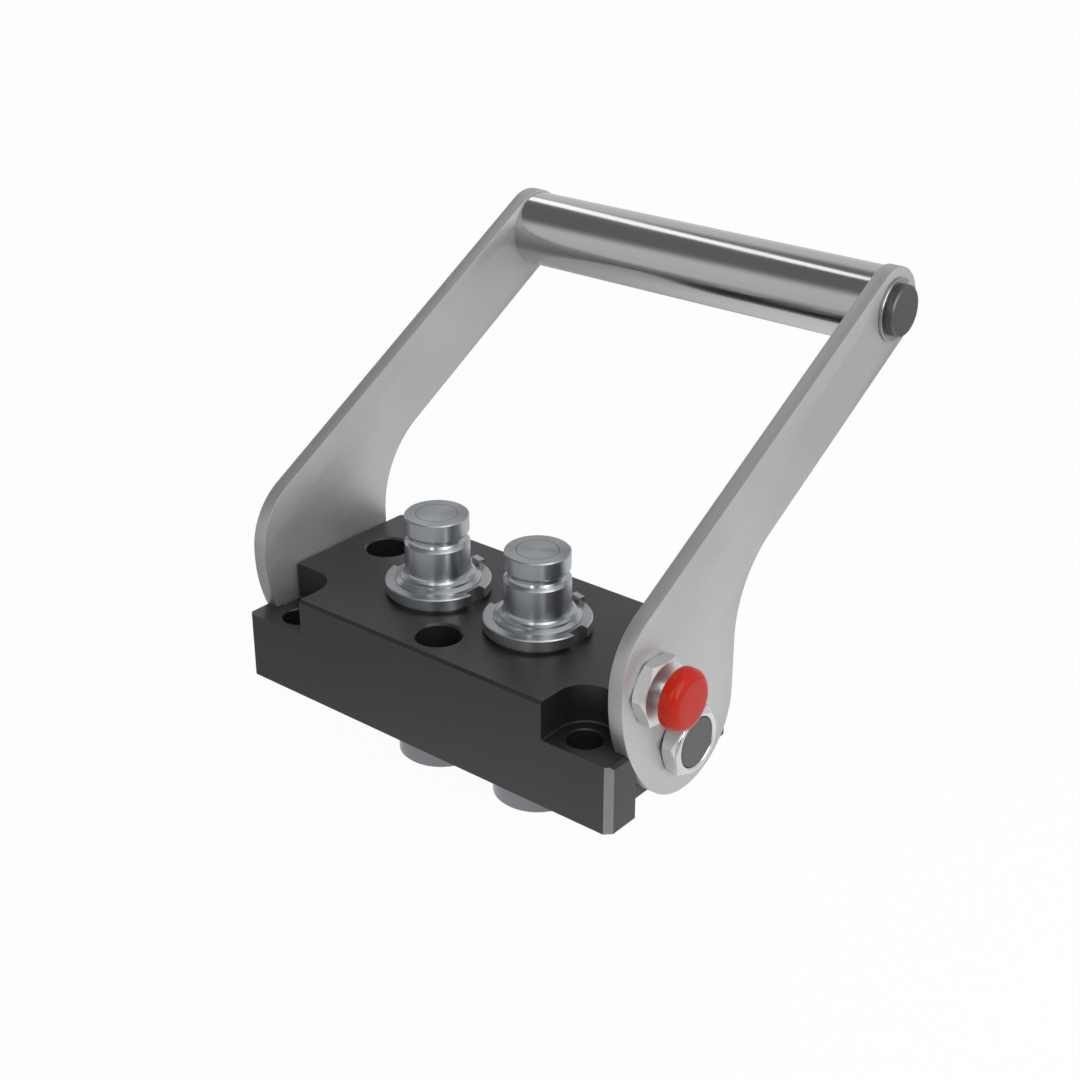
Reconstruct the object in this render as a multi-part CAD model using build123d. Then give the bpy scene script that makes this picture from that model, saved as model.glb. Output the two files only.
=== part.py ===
from build123d import *
import math
import os

# All sizes in millimetres, +Z up, X along the block, the front of the block at -Y.
# The origin is the middle of the block's underside.

# Base block
BLOCK_H = 42.0
BLOCK_D = 82.0
BODY_HALF = 82.0
LUG_OUT = 7.0
LUG_D = 15.0
POCKET_DEPTH = 15.0
TOP_CHAMFER = 1.1
CORNER_CHAMFER = 2.5
BACK_CHAMFER = 2.0
LUG_END_CHAMFER = 1.2
LUG_HOLE_IN = 18.7
LUG_HOLE_BACK = 10.3
LUG_HOLE_R = 6.5
LUG_RIM = 0.5
POCKET_R = 11.3
POCKET_FILLET = 0.8
GUIDE_R = 8.6
GUIDE_CHAMFER = 0.8
FRONT_GUIDE_BACK = 13.4
REAR_GUIDE_IN = 17.0
REAR_GUIDE_FRONT = 27.2
OVERRUN = 5.0

# Couplings
COUPLING_X = 24.5
COUPLING_Y = -0.5
NOSE_TOP = 32.0
NOSE_R = 12.25
NOSE_H = 7.2
GROOVE_R = 10.7
GROOVE_H = 3.6
STEM_R = 12.5
STEM_BOTTOM = 9.8
FLARE_R = 14.5
STEP_R = 16.4
BODY_R = 14.95
SPIGOT_R = 13.0
SPIGOT_LOW = -10.0
CAVITY_R = 11.0
NOSE_CAVITY_R = 9.3
NOSE_CAVITY_LEN = 17.0
FACE_BORE_R = 7.85
FACE_BORE_LEN = 6.5
FLANGE_R = 20.3
FLANGE_TOP = 5.5
FLANGE_BOTTOM = 1.4
NOTCH_DEPTH = 3.0
NOTCH_W = 7.5
TAB_W = 5.0
TAB_T = 2.6
TAB_H = 2.3
TAB_ANGLE = 76.0
FLANGE_STEP = 1.8
PORT_R = 17.2
PORT_DROP = 28.0
PORT_THREAD_R = 9.5
PORT_THREAD_DEPTH = 16.0
FIT = 0.05

# Valve parts
POPPET_SHOULDER_R = 9.0
POPPET_STEM_R = 4.0
POPPET_TAIL_R = 3.0
POPPET_TAIL_LOW = -6.0
POPPET_COLLAR_R = 8.5
POPPET_COLLAR_DOWN = 18.0
POPPET_COLLAR_T = 3.0
POPPET_TRAVEL = 8.0
GUIDE_DISC_T = 6.0
SPRING_R = 6.3
SPRING_WIRE_R = 0.9
NOSE_SEAL_R = 0.8
BODY_SEAL_R = 0.85
BODY_SEAL_DOWN = 22.0
BODY_GROOVE_DEPTH = 1.75
BODY_GROOVE_W = 2.4
SEAL_FIT = 0.02

# Lever
PLATE_GAP = 1.1
PLATE_T = 6.0
PLATE_CHAMFER = 0.4
LOBE_Y = 4.0
LOBE_UP = 4.5
LOBE_R = 28.0
FRONT_Y = -7.2
FRONT_UP = 30.5
FRONT_R = 28.0
GRIP_Y = 130.5
GRIP_UP = 123.2
ARM_R = 16.4
ARM_REAR_FILLET = 39.0
SLOT_CLEAR = 0.6
GRIP_R = 15.2
CORE_R = 10.0
CORE_OUT = 4.6
RING_T = 1.2
RING_R = 12.6
RING_GROOVE_R = 8.9

# Pivot
BUSH_R = 12.0
SHOULDER_R = 10.0
PIN_THREAD_R = 6.0
PIN_THREAD_LEN = 11.0
PIN_THREAD_END = 0.5
STUD_R = 9.4
STUD_OUT = 7.1
WASHER_R = 16.0
NUT_AF = 24.0
NUT_HEX_T = 5.0
NUT_COLLAR_R = 11.5
NUT_COLLAR_T = 2.3

# Lock plunger
PLUNGER_Y = -18.5
PLUNGER_OVER = 7.0
HOUSING_AF = 25.0
HOUSING_HEX_T = 6.5
HOUSING_NECK_R = 8.0
CHAMBER_R = 6.3
LOCK_PIN_R = 4.0
LOCK_STEM_R = 5.0
LOCK_PIN_IN = 6.0
BUTTON_R = 12.0
BUTTON_T = 8.0
BUTTON_GAP = 2.6
BUTTON_ROUND = 2.6

# Places that follow from the sizes above
HALF_D = BLOCK_D / 2
LUG_HALF = BODY_HALF + LUG_OUT
LUG_H = BLOCK_H - POCKET_DEPTH
LUG_HOLE_X = LUG_HALF - LUG_HOLE_IN
LUG_HOLE_Y = LUG_HOLE_BACK - HALF_D
GUIDE_HOLES = [(0.0, FRONT_GUIDE_BACK - HALF_D), (REAR_GUIDE_IN - BODY_HALF, HALF_D - REAR_GUIDE_FRONT)]
TOP = BLOCK_H + NOSE_TOP
NOSE_CAVITY_LOW = TOP - NOSE_CAVITY_LEN
POPPET_COLLAR_Z = BLOCK_H - POPPET_COLLAR_DOWN
BODY_SEAL_Z = BLOCK_H - BODY_SEAL_DOWN
PIVOT_Z = BLOCK_H / 2
PLATE_IN = BODY_HALF + PLATE_GAP
PLATE_OUT = PLATE_IN + PLATE_T
LOBE_Z = PIVOT_Z + LOBE_UP
FRONT_Z = PIVOT_Z + FRONT_UP
GRIP_Z = PIVOT_Z + GRIP_UP
PLUNGER_Z = BLOCK_H + PLUNGER_OVER
SIDES = {"left": -1, "right": 1}
UP = (Align.CENTER, Align.CENTER, Align.MIN)

os.makedirs("parts", exist_ok=True)


def save(shape, name):
    shape.label = name
    export_step(shape, "parts/" + name + ".step")


def along_x(x, y, z, side):
    # A plane facing outwards along X at one end of the block
    return Plane(origin=(x * side, y, z), x_dir=(0, 1, 0), z_dir=(side, 0, 0))


def turned(points, place):
    # A solid of revolution from radius and height pairs about the plane's normal
    with BuildPart() as made:
        with BuildSketch(Plane.XZ):
            with BuildLine():
                Polyline(*points, close=True)
            make_face()
        revolve(axis=Axis.Z)
    return place * made.part


def disc(radius, length, place):
    return place * Cylinder(radius, length, align=UP)


def tube(inner, outer, length, place):
    return place * (Cylinder(outer, length, align=UP) - Cylinder(inner, length, align=UP))


def hexagon(across_flats, length, turn, place):
    # Bolt hexagon with the usual turned-down corners on its outer end
    corner_r = across_flats / math.sqrt(3)
    body = extrude(RegularPolygon(corner_r, 6, rotation=turn), length)
    cone = Cone(corner_r + length, corner_r - 1.0, length + 1.0, align=UP)
    return place * (body & cone)


def coil(radius, wire, low, high, turns, place):
    # Round wire spring between two heights, with its wire inside both
    path = Helix((high - low - 2 * wire) / turns, high - low - 2 * wire, radius)
    section = Plane(origin=path @ 0, z_dir=path % 0) * Circle(wire)
    return place * (Pos(0, 0, low + wire) * sweep(section, path, is_frenet=True))


def o_ring(radius, wire, place):
    return place * Torus(radius, wire)


def plate_outline(grow=0.0):
    # One lever plate seen along X: lobe, rounded front, straight arm, round end
    lobe = Pos(LOBE_Y, LOBE_Z) * Circle(LOBE_R + grow)
    front = Pos(FRONT_Y, FRONT_Z) * Circle(FRONT_R + grow)
    end = Pos(GRIP_Y, GRIP_Z) * Circle(ARM_R + grow)
    run = math.atan2(GRIP_Z - FRONT_Z, GRIP_Y - FRONT_Y)
    span = math.hypot(GRIP_Z - FRONT_Z, GRIP_Y - FRONT_Y)
    slope = run - math.asin((FRONT_R - ARM_R) / span)
    upper = slope + math.pi / 2
    lower = slope - math.pi / 2
    top = (GRIP_Y + (ARM_R + grow) * math.cos(upper), GRIP_Z + (ARM_R + grow) * math.sin(upper))
    start = (FRONT_Y + (FRONT_R + grow) * math.cos(upper), FRONT_Z + (FRONT_R + grow) * math.sin(upper))
    rear = (GRIP_Y + (ARM_R + grow) * math.cos(lower), GRIP_Z + (ARM_R + grow) * math.sin(lower))
    reach = 0.80 * span
    back = (rear[0] - reach * math.cos(slope), rear[1] - reach * math.sin(slope))
    edge_y = LOBE_Y + LOBE_R + grow
    low_rear = (edge_y, LOBE_Z)
    high_rear = (edge_y, rear[1] - (rear[0] - edge_y) * math.tan(slope))
    head = make_hull((lobe + front).edges())
    arm = make_face(Polyline(top, start, (FRONT_Y, FRONT_Z), back, rear, close=True))
    web = make_face(Polyline((FRONT_Y, FRONT_Z), (LOBE_Y, LOBE_Z), low_rear, high_rear, close=True))
    whole = head + arm + end + web
    corner = [v for v in whole.vertices() if math.hypot(v.X - high_rear[0], v.Y - high_rear[1]) < 1.0]
    return fillet(corner, ARM_REAR_FILLET)


plate_plane = Plane(origin=(0, 0, 0), x_dir=(0, 1, 0), z_dir=(1, 0, 0))

# Lever plates with their pivot, grip and plunger holes
outline = plate_outline()
for name, side in SIDES.items():
    low_x = PLATE_IN if side > 0 else -PLATE_OUT
    plate = Pos(low_x, 0, 0) * (plate_plane * extrude(outline, PLATE_T))
    rims = plate.faces().filter_by(Axis.X).edges()
    plate = chamfer(rims, PLATE_CHAMFER)
    plate -= disc(BUSH_R, PLATE_T + 2, along_x(PLATE_IN - 1, 0, PIVOT_Z, side))
    plate -= disc(CORE_R, PLATE_T + 2, along_x(PLATE_IN - 1, GRIP_Y, GRIP_Z, side))
    if side > 0:
        plate -= disc(HOUSING_NECK_R, PLATE_T + 2, along_x(PLATE_IN - 1, PLUNGER_Y, PLUNGER_Z, side))
    save(plate, "lever_plate_" + name)

# Base block: full-length front strip with a shorter body behind it
block = Pos(0, 0, BLOCK_H / 2) * Box(2 * BODY_HALF, BLOCK_D, BLOCK_H)
block += Pos(0, LUG_D / 2 - HALF_D, BLOCK_H / 2) * Box(2 * LUG_HALF, LUG_D, BLOCK_H)
top_face = block.faces().sort_by(Axis.Z)[-1]
long_edges = [e for e in top_face.edges().filter_by(Axis.X) if abs(abs(e.center().Y) - HALF_D) < 0.01]
block = chamfer(long_edges, TOP_CHAMFER)
uprights = block.edges().filter_by(Axis.Z)
block = chamfer([e for e in uprights if abs(e.center().Y + HALF_D) < 0.01], CORNER_CHAMFER)
uprights = block.edges().filter_by(Axis.Z)
block = chamfer([e for e in uprights if abs(e.center().Y - HALF_D) < 0.01], BACK_CHAMFER)
pocket_h = POCKET_DEPTH + OVERRUN
out_reach = LUG_HALF + OVERRUN - LUG_HOLE_X
front_reach = HALF_D + OVERRUN + LUG_HOLE_Y
for side in (-1, 1):
    floor = Pos(LUG_HOLE_X * side, LUG_HOLE_Y, LUG_H)
    outward = (Align.MIN if side > 0 else Align.MAX, Align.MIN, Align.MIN)
    pocket = Cylinder(POCKET_R, pocket_h, align=UP)
    pocket += Box(out_reach, POCKET_R, pocket_h, align=outward)
    pocket += Pos(-POCKET_R * side, -front_reach, 0) * Box(out_reach + POCKET_R, front_reach, pocket_h, align=outward)
    pocket = fillet(pocket.edges().group_by(Axis.Z)[0], POCKET_FILLET)
    block -= floor * pocket
    bolt_hole = Cylinder(LUG_HOLE_R, LUG_H + 2 * OVERRUN, align=UP)
    block -= Pos(LUG_HOLE_X * side, LUG_HOLE_Y, -OVERRUN) * bolt_hole
lug_tops = [f for f in block.faces().filter_by(Axis.Z) if abs(f.center().Z - LUG_H) < 0.01]
end_edges = []
for lug_top in lug_tops:
    end_edges += [e for e in lug_top.edges().filter_by(Axis.Y) if abs(abs(e.center().X) - LUG_HALF) < 0.01]
block = chamfer(end_edges, LUG_END_CHAMFER)
lug_tops = [f for f in block.faces().filter_by(Axis.Z) if abs(f.center().Z - LUG_H) < 0.01]
rims = []
for lug_top in lug_tops:
    rims += [e for e in lug_top.edges().filter_by(GeomType.CIRCLE) if abs(e.radius - LUG_HOLE_R) < 0.01]
block = chamfer(rims, LUG_RIM)
for hole in GUIDE_HOLES:
    block -= Pos(hole[0], hole[1], -OVERRUN) * Cylinder(GUIDE_R, BLOCK_H + 2 * OVERRUN, align=UP)
rims = [e for e in block.edges().filter_by(GeomType.CIRCLE) if abs(e.radius - GUIDE_R) < 0.01]
block = chamfer(rims, GUIDE_CHAMFER)
for side in (-1, 1):
    bore = Cylinder(BODY_R + FIT, BLOCK_H + 2 * OVERRUN, align=UP)
    block -= Pos(COUPLING_X * side, COUPLING_Y, -OVERRUN) * bore
    tap_x = BODY_HALF - PIN_THREAD_LEN - PIN_THREAD_END
    block -= disc(PIN_THREAD_R, BODY_HALF - tap_x + OVERRUN, along_x(tap_x, 0, PIVOT_Z, side))
# Room behind each lug for the lever lobe
slot_outline = plate_outline(SLOT_CLEAR)
slot_len = LUG_OUT + OVERRUN
for side in (-1, 1):
    slot_x = BODY_HALF if side > 0 else -BODY_HALF - slot_len
    block -= Pos(slot_x, 0, 0) * (plate_plane * extrude(slot_outline, slot_len))
save(block, "base_block")

# Couplings, one per side: body, valve, spring, guide, seals, flange and port
for name, side in SIDES.items():
    at = Pos(COUPLING_X * side, COUPLING_Y, 0)
    stem_low = BLOCK_H + STEM_BOTTOM
    nose_low = TOP - NOSE_H
    groove_low = nose_low - GROOVE_H
    shoulder_z = TOP - FACE_BORE_LEN
    cone_low = shoulder_z - (NOSE_CAVITY_R - FACE_BORE_R)
    seal_half = BODY_GROOVE_W / 2
    groove_r = BODY_R - BODY_GROOVE_DEPTH
    profile = [
        (FACE_BORE_R, TOP),
        (NOSE_R - 0.4, TOP),
        (NOSE_R, TOP - 0.4),
        (NOSE_R, nose_low + 0.8),
        (NOSE_R - 0.5, nose_low),
        (GROOVE_R + 0.35, nose_low - 0.25),
        (GROOVE_R, nose_low - 1.0),
        (GROOVE_R, groove_low + 1.6),
        (GROOVE_R + 0.45, groove_low + 0.7),
        (STEM_R - 0.5, groove_low),
        (STEM_R, groove_low - 0.5),
        (STEM_R, stem_low),
        (STEM_R + 0.25, stem_low - 0.9),
        (STEM_R + 0.8, stem_low - 1.6),
        (FLARE_R, stem_low - 2.1),
        (FLARE_R, stem_low - 2.9),
        (STEP_R - 0.8, BLOCK_H + FLANGE_TOP + 0.9),
        (STEP_R, BLOCK_H + FLANGE_TOP + 0.4),
        (STEP_R, BLOCK_H),
        (BODY_R, BLOCK_H),
        (BODY_R, BODY_SEAL_Z + seal_half),
        (groove_r, BODY_SEAL_Z + seal_half),
        (groove_r, BODY_SEAL_Z - seal_half),
        (BODY_R, BODY_SEAL_Z - seal_half),
        (BODY_R, 0.0),
        (SPIGOT_R, 0.0),
        (SPIGOT_R, SPIGOT_LOW),
        (CAVITY_R, SPIGOT_LOW),
        (CAVITY_R, NOSE_CAVITY_LOW - 1.7),
        (NOSE_CAVITY_R, NOSE_CAVITY_LOW),
        (NOSE_CAVITY_R, cone_low),
        (FACE_BORE_R, shoulder_z),
    ]
    save(turned(profile, at), "nipple_body_" + name)

    poppet_r = FACE_BORE_R - FIT
    seat_gap = 0.3
    shoulder_top = shoulder_z - (POPPET_SHOULDER_R - poppet_r) - seat_gap
    groove_top = TOP - 2.0
    collar_top = POPPET_COLLAR_Z + POPPET_COLLAR_T
    profile = [
        (0.0, TOP),
        (poppet_r, TOP),
        (poppet_r, groove_top),
        (poppet_r - 1.8, groove_top),
        (poppet_r - 1.8, groove_top - 1.9),
        (poppet_r, groove_top - 1.9),
        (poppet_r, shoulder_z - seat_gap),
        (POPPET_SHOULDER_R, shoulder_top),
        (POPPET_SHOULDER_R, shoulder_top - 2.0),
        (POPPET_STEM_R, shoulder_top - 5.0),
        (POPPET_STEM_R, collar_top),
        (POPPET_COLLAR_R, collar_top),
        (POPPET_COLLAR_R, POPPET_COLLAR_Z),
        (POPPET_TAIL_R, POPPET_COLLAR_Z),
        (POPPET_TAIL_R, POPPET_TAIL_LOW),
        (0.0, POPPET_TAIL_LOW),
    ]
    save(turned(profile, at), "poppet_" + name)
    seal_mid = groove_top - 0.95
    save(o_ring(poppet_r - 1.8 + NOSE_SEAL_R + 0.05, NOSE_SEAL_R, at * Pos(0, 0, seal_mid)), "nose_seal_" + name)
    save(o_ring(BODY_R - BODY_SEAL_R - SEAL_FIT, BODY_SEAL_R, at * Pos(0, 0, BODY_SEAL_Z)), "body_seal_" + name)

    spider = Cylinder(CAVITY_R - FIT, GUIDE_DISC_T, align=UP) - Cylinder(POPPET_TAIL_R + FIT, GUIDE_DISC_T, align=UP)
    for angle in range(0, 360, 60):
        spider -= Rot(0, 0, angle) * (Pos(7.6, 0, 0) * Cylinder(2.3, GUIDE_DISC_T, align=UP))
    save(at * (Pos(0, 0, SPIGOT_LOW) * spider), "spring_guide_" + name)
    save(coil(SPRING_R, SPRING_WIRE_R, SPIGOT_LOW + GUIDE_DISC_T, POPPET_COLLAR_Z, 6, at), "poppet_spring_" + name)

    flange_top = BLOCK_H + FLANGE_TOP
    flange = turned(
        [
            (STEP_R + FIT, BLOCK_H),
            (FLANGE_R - FLANGE_STEP, BLOCK_H),
            (FLANGE_R - FLANGE_STEP, BLOCK_H + FLANGE_BOTTOM),
            (FLANGE_R, BLOCK_H + FLANGE_BOTTOM),
            (FLANGE_R, flange_top - 0.4),
            (FLANGE_R - 0.4, flange_top),
            (STEP_R + FIT, flange_top),
        ],
        Pos(0, 0, 0),
    )
    tab_in = FLANGE_R - NOTCH_DEPTH
    tab = Pos(tab_in, 0, flange_top) * Box(TAB_T, TAB_W, TAB_H, align=(Align.MIN, Align.CENTER, Align.MIN))
    flange += Rot(0, 0, TAB_ANGLE) * tab
    notch_h = 2 * FLANGE_TOP
    for angle in (0.0, 180.0):
        notch = Box(NOTCH_DEPTH + OVERRUN, NOTCH_W, notch_h, align=(Align.MIN, Align.CENTER, Align.MIN))
        flange -= Rot(0, 0, angle) * (Pos(FLANGE_R - NOTCH_DEPTH, 0, BLOCK_H) * notch)
    save(at * flange, "retaining_flange_" + name)

    port = turned(
        [
            (SPIGOT_R + 0.03, 0.0),
            (PORT_R, 0.0),
            (PORT_R, 0.8 - PORT_DROP),
            (PORT_R - 0.8, -PORT_DROP),
            (PORT_THREAD_R + 1.0, -PORT_DROP),
            (PORT_THREAD_R, 1.0 - PORT_DROP),
            (PORT_THREAD_R, PORT_THREAD_DEPTH - PORT_DROP),
            (PORT_THREAD_R - 1.0, PORT_THREAD_DEPTH - PORT_DROP),
            (PORT_THREAD_R - 1.0, SPIGOT_LOW),
            (SPIGOT_R + 0.03, SPIGOT_LOW),
        ],
        at,
    )
    save(port, "port_adapter_" + name)

# Pivots: pin screwed into the block, bush in the plate, washer and collared nut
for name, side in SIDES.items():
    end_x = PLATE_OUT + STUD_OUT
    pin_low = BODY_HALF - PIN_THREAD_LEN
    nut_low = PLATE_OUT + 0.2
    profile = [
        (0.0, 0.0),
        (PIN_THREAD_R - 1.03, 0.0),
        (PIN_THREAD_R - 0.03, 1.0),
        (PIN_THREAD_R - 0.03, PIN_THREAD_LEN),
        (SHOULDER_R, PIN_THREAD_LEN),
        (SHOULDER_R, nut_low - pin_low),
        (STUD_R, nut_low - pin_low),
        (STUD_R, end_x - pin_low - 0.4),
        (STUD_R - 0.4, end_x - pin_low),
        (0.0, end_x - pin_low),
    ]
    save(turned(profile, along_x(pin_low, 0, PIVOT_Z, side)), "pivot_pin_" + name)
    save(tube(SHOULDER_R + FIT, BUSH_R, PLATE_T, along_x(PLATE_IN, 0, PIVOT_Z, side)), "pivot_bush_" + name)
    washer = tube(SHOULDER_R + 0.2, WASHER_R, PLATE_IN - BODY_HALF - 0.1, along_x(BODY_HALF, 0, PIVOT_Z, side))
    save(washer, "thrust_washer_" + name)
    place = along_x(nut_low, 0, PIVOT_Z, side)
    nut = hexagon(NUT_AF, NUT_HEX_T, 10.0, place)
    nut += disc(NUT_COLLAR_R, NUT_COLLAR_T, along_x(nut_low + NUT_HEX_T, 0, PIVOT_Z, side))
    nut -= disc(STUD_R + 0.03, 12.0, along_x(nut_low - 1, 0, PIVOT_Z, side))
    outer = nut.edges().filter_by(GeomType.CIRCLE).filter_by(
        lambda e: abs(e.radius - NUT_COLLAR_R) < 0.01 and abs(abs(e.center().X) - nut_low - NUT_HEX_T) > 1
    )
    nut = fillet(outer, 0.9)
    save(nut, "pivot_nut_" + name)

# Handle: tube between the plates on a core rod held by two retaining rings
save(tube(CORE_R + FIT, GRIP_R, 2 * PLATE_IN, along_x(-PLATE_IN, GRIP_Y, GRIP_Z, 1)), "handle_tube")
core_end = PLATE_OUT + CORE_OUT
core = disc(CORE_R - 0.03, 2 * core_end, along_x(-core_end, GRIP_Y, GRIP_Z, 1))
core = chamfer(core.edges().filter_by(GeomType.CIRCLE), 0.6)
for side in (-1, 1):
    place = along_x(PLATE_OUT + 0.1, GRIP_Y, GRIP_Z, side)
    core -= tube(RING_GROOVE_R, CORE_R + 1, RING_T + 0.1, place)
save(core, "handle_core")
for name, side in SIDES.items():
    place = along_x(PLATE_OUT + 0.15, GRIP_Y, GRIP_Z, side)
    clip = Cylinder(RING_R, RING_T, align=UP) - Cylinder(RING_GROOVE_R + FIT, RING_T, align=UP)
    clip -= Rot(0, 0, 60) * (Pos(RING_R, 0, 0) * Box(2 * RING_R, 3.0, 3 * RING_T))
    for turn in (48.0, 72.0):
        ear = Pos(RING_R + 0.4, 0, 0) * Cylinder(2.0, RING_T, align=UP)
        hole = Pos(RING_R + 0.4, 0, 0) * Cylinder(0.9, RING_T, align=UP)
        clip += Rot(0, 0, turn) * ear
        clip -= Rot(0, 0, turn) * hole
    save(place * clip, "retaining_ring_" + name)

# Lock plunger on the right plate, along X
hex_x = PLATE_OUT
wall = 2.0
front_x = PLATE_OUT + HOUSING_HEX_T
back_wall = 2.0
housing = hexagon(HOUSING_AF, HOUSING_HEX_T, 22.0, along_x(PLATE_OUT, PLUNGER_Y, PLUNGER_Z, 1))
housing += disc(HOUSING_NECK_R - 0.03, PLATE_T, along_x(PLATE_IN, PLUNGER_Y, PLUNGER_Z, 1))
housing -= disc(LOCK_PIN_R + FIT, 20.0, along_x(PLATE_IN - 1, PLUNGER_Y, PLUNGER_Z, 1))
chamber_x = PLATE_IN + back_wall
chamber_len = front_x - wall - chamber_x
housing -= disc(CHAMBER_R, chamber_len, along_x(chamber_x, PLUNGER_Y, PLUNGER_Z, 1))
housing -= disc(LOCK_STEM_R + FIT, wall + 2, along_x(front_x - wall - 0.5, PLUNGER_Y, PLUNGER_Z, 1))
save(housing, "plunger_housing")
button_x = front_x + BUTTON_GAP
pin_x = PLATE_IN - LOCK_PIN_IN
collar_t = 1.6
collar_x = front_x - wall - collar_t - 0.05
profile = [
    (0.0, 0.0),
    (LOCK_PIN_R - 0.8, 0.0),
    (LOCK_PIN_R, 0.8),
    (LOCK_PIN_R, collar_x - pin_x),
    (CHAMBER_R - 0.3, collar_x - pin_x),
    (CHAMBER_R - 0.3, collar_x + collar_t - pin_x),
    (LOCK_STEM_R, collar_x + collar_t - pin_x),
    (LOCK_STEM_R, button_x - pin_x),
    (LOCK_STEM_R - 0.5, button_x - pin_x),
    (LOCK_STEM_R - 0.5, button_x - pin_x + 4.9),
    (0.0, button_x - pin_x + 4.9),
]
save(turned(profile, along_x(pin_x, PLUNGER_Y, PLUNGER_Z, 1)), "plunger_pin")
spring_place = along_x(chamber_x, PLUNGER_Y, PLUNGER_Z, 1)
save(coil(5.15, 0.55, 0.0, collar_x - chamber_x, 3, spring_place), "plunger_spring")
button = Cylinder(BUTTON_R, BUTTON_T, align=UP)
front_rim = button.edges().filter_by(GeomType.CIRCLE).sort_by(Axis.Z)
button = fillet(front_rim[-1], BUTTON_ROUND)
button = fillet(button.edges().filter_by(GeomType.CIRCLE).sort_by(Axis.Z)[0], 0.8)
button -= Cylinder(LOCK_STEM_R - 0.5 + 0.02, 5.0, align=UP)
save(along_x(button_x, PLUNGER_Y, PLUNGER_Z, 1) * button, "plunger_button")
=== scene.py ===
import bpy
import math
from mathutils import Matrix, Vector


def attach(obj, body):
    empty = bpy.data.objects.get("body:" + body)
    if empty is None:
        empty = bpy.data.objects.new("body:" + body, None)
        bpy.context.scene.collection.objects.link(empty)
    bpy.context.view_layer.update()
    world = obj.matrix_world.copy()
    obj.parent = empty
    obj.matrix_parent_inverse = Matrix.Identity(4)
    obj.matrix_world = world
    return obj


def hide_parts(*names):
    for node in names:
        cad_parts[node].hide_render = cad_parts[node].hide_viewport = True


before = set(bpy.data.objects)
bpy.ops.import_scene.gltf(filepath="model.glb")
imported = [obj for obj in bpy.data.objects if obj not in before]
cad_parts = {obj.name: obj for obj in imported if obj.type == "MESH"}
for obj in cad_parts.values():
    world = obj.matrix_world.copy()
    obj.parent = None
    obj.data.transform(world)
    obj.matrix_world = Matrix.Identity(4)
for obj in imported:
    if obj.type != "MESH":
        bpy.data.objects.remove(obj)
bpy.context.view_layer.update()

# Base block
# A steel block milled all over and blackened, with a soft satin sheen. The two upright front
# corners are chamfered after blackening, so they show bare steel.
BLACK = (0.0125, 0.0128, 0.0135, 1.0)
BLACK_EDGE_WEAR_AND_HIGHLIGHT = (0.03, 0.0305, 0.032, 1.0)
BARE_STEEL = (0.27, 0.27, 0.268, 1.0)
CHAMFER_FRONT_Y, CHAMFER_END_X = -0.036, 0.0855
DIAGONAL = math.sqrt(0.5)


def new_finish(name):
    material = bpy.data.materials.new(name)
    material.use_nodes = True
    tree = material.node_tree
    shader = tree.nodes["Principled BSDF"]
    place = tree.nodes.new("ShaderNodeTexCoord")
    return material, tree, shader, place.outputs["Object"]


def noise(tree, vector, scale, detail=3.0, stretch=(1.0, 1.0, 1.0)):
    mapping = tree.nodes.new("ShaderNodeMapping")
    mapping.inputs["Scale"].default_value = stretch
    tree.links.new(vector, mapping.inputs["Vector"])
    texture = tree.nodes.new("ShaderNodeTexNoise")
    texture.inputs["Scale"].default_value = scale
    texture.inputs["Detail"].default_value = detail
    tree.links.new(mapping.outputs["Vector"], texture.inputs["Vector"])
    return texture.outputs["Fac"]


def spread(tree, value, low, high, start=0.3, stop=0.7):
    # Turns a value into a range of its own
    ramp = tree.nodes.new("ShaderNodeMapRange")
    ramp.inputs["From Min"].default_value = start
    ramp.inputs["From Max"].default_value = stop
    ramp.inputs["To Min"].default_value = low
    ramp.inputs["To Max"].default_value = high
    tree.links.new(value, ramp.inputs["Value"])
    return ramp.outputs["Result"]


def feed(tree, socket, value):
    # A value is a constant or the output of another node
    if isinstance(value, bpy.types.NodeSocket):
        tree.links.new(value, socket)
    else:
        socket.default_value = value


def tint(tree, factor, first, second):
    mix = tree.nodes.new("ShaderNodeMix")
    mix.data_type = "RGBA"
    feed(tree, mix.inputs["Factor"], factor)
    feed(tree, mix.inputs["A"], first)
    feed(tree, mix.inputs["B"], second)
    return mix.outputs["Result"]


def compute(tree, operation, *values):
    node = tree.nodes.new("ShaderNodeMath")
    node.operation = operation
    for socket, value in zip(node.inputs, values):
        feed(tree, socket, value)
    return node.outputs["Value"]


def combine(tree, operation, result, *vectors):
    node = tree.nodes.new("ShaderNodeVectorMath")
    node.operation = operation
    for socket, vector in zip(node.inputs, vectors):
        feed(tree, socket, vector)
    return node.outputs[result]


def turn_between(tree, kind, vector, start, stop):
    node = tree.nodes.new("ShaderNodeVectorTransform")
    node.vector_type = kind
    node.convert_from = start
    node.convert_to = stop
    tree.links.new(vector, node.inputs["Vector"])
    return node.outputs["Vector"]


def parts_of(tree, vector):
    node = tree.nodes.new("ShaderNodeSeparateXYZ")
    tree.links.new(vector, node.inputs["Vector"])
    return node.outputs


def relief(tree, shader, height, depth, strength=1.0):
    bump = tree.nodes.new("ShaderNodeBump")
    bump.inputs["Strength"].default_value = strength
    bump.inputs["Distance"].default_value = depth
    tree.links.new(height, bump.inputs["Height"])
    tree.links.new(bump.outputs["Normal"], shader.inputs["Normal"])


def dress(material, *names):
    for name in names:
        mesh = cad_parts[name].data
        mesh.materials.clear()
        mesh.materials.append(material)


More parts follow.
